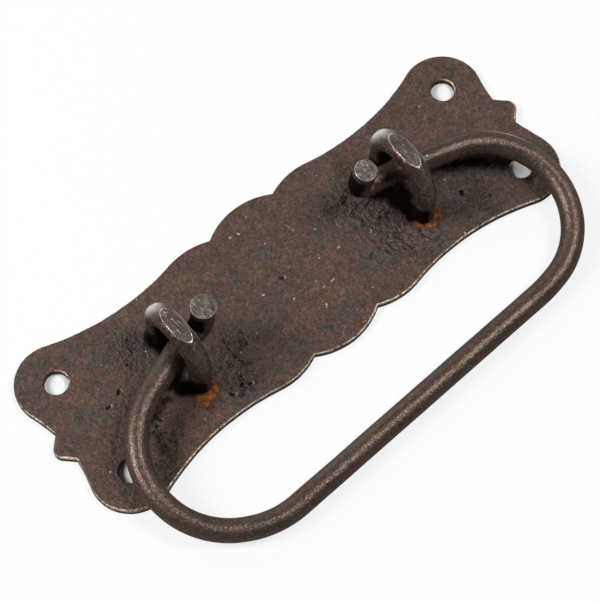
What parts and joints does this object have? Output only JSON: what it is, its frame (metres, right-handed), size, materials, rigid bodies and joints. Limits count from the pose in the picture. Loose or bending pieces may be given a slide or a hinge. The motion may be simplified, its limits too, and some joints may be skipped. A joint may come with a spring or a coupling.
{
  "type": "drop handle",
  "caption": "Drop handle: a scalloped iron back plate with a bail of bent round bar that swings in riveted eyes.",
  "frame": {"origin": "centre of the back plate's rear face, on the surface it is screwed to", "axes": "+X along the plate's length, +Y across it and away from the hanging grip, +Z out of the mounting surface"},
  "size_m": [0.159, 0.0811, 0.026],
  "materials": {
    "plate_iron": "hot-rolled iron sheet with a dark brown patina, mottled with rust and pitted",
    "eye_iron": "forged iron bar with a dark patina, rubbed bright on the hammered crowns",
    "bail_iron": "forged iron bar with a brown patina, worn smooth where it is held"
  },
  "bodies": {
    "base": {"back_plate": "plate_iron", "left_eye": "eye_iron", "right_eye": "eye_iron"},
    "bail": {"handle": "bail_iron"}
  },
  "joints": [
    {"name": "handle_swing", "type": "hinge", "parent": "base", "child": "bail", "pos_m": [0, -0.0006, 0.0125], "axis": [-1, 0, 0], "range_deg": [0, 114]}
  ]
}
